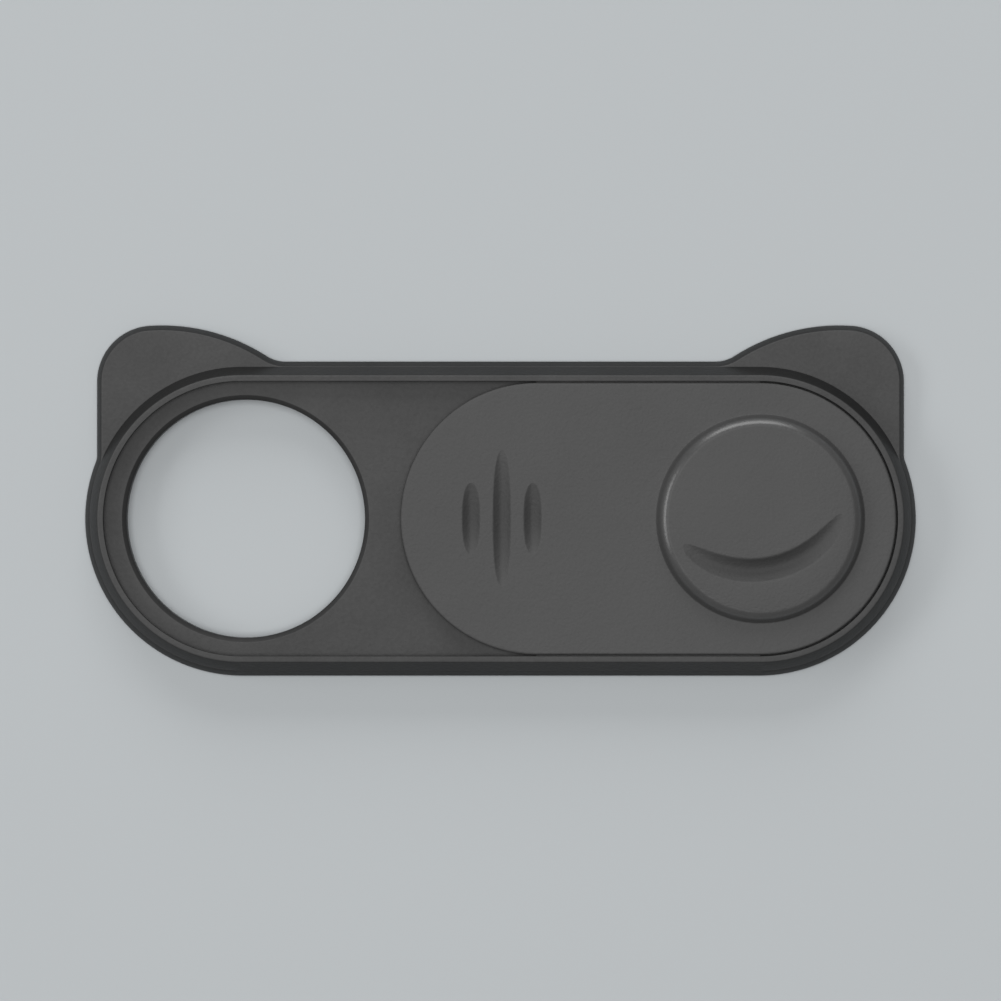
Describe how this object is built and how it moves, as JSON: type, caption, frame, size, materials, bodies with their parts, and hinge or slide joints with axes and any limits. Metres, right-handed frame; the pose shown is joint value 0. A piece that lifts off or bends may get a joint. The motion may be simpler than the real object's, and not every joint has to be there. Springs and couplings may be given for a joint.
{
  "type": "webcam cover slider",
  "caption": "Thin pill-shaped webcam cover with rounded animal ears, a round camera window and a shutter with grip grooves and a raised disc that slides over the window.",
  "frame": {"origin": "middle of the pill on the adhesive face", "axes": "+X along the slide, away from the camera window; +Y towards the ears; +Z out of the front"},
  "size_m": [0.028, 0.0118, 0.0016],
  "materials": {
    "tape": "matte acrylic foam tape",
    "shell": "fine moulded texture",
    "shutter": "fine moulded texture"
  },
  "bodies": {
    "base": {"adhesive_pad": "tape", "back_plate": "shell", "rail_frame": "shell"},
    "shutter": {"slider": "shutter"}
  },
  "joints": [
    {"name": "shutter_slide", "type": "slide", "parent": "base", "child": "shutter", "axis": [-1, 0, 0], "range_m": [0, 0.0099]}
  ]
}
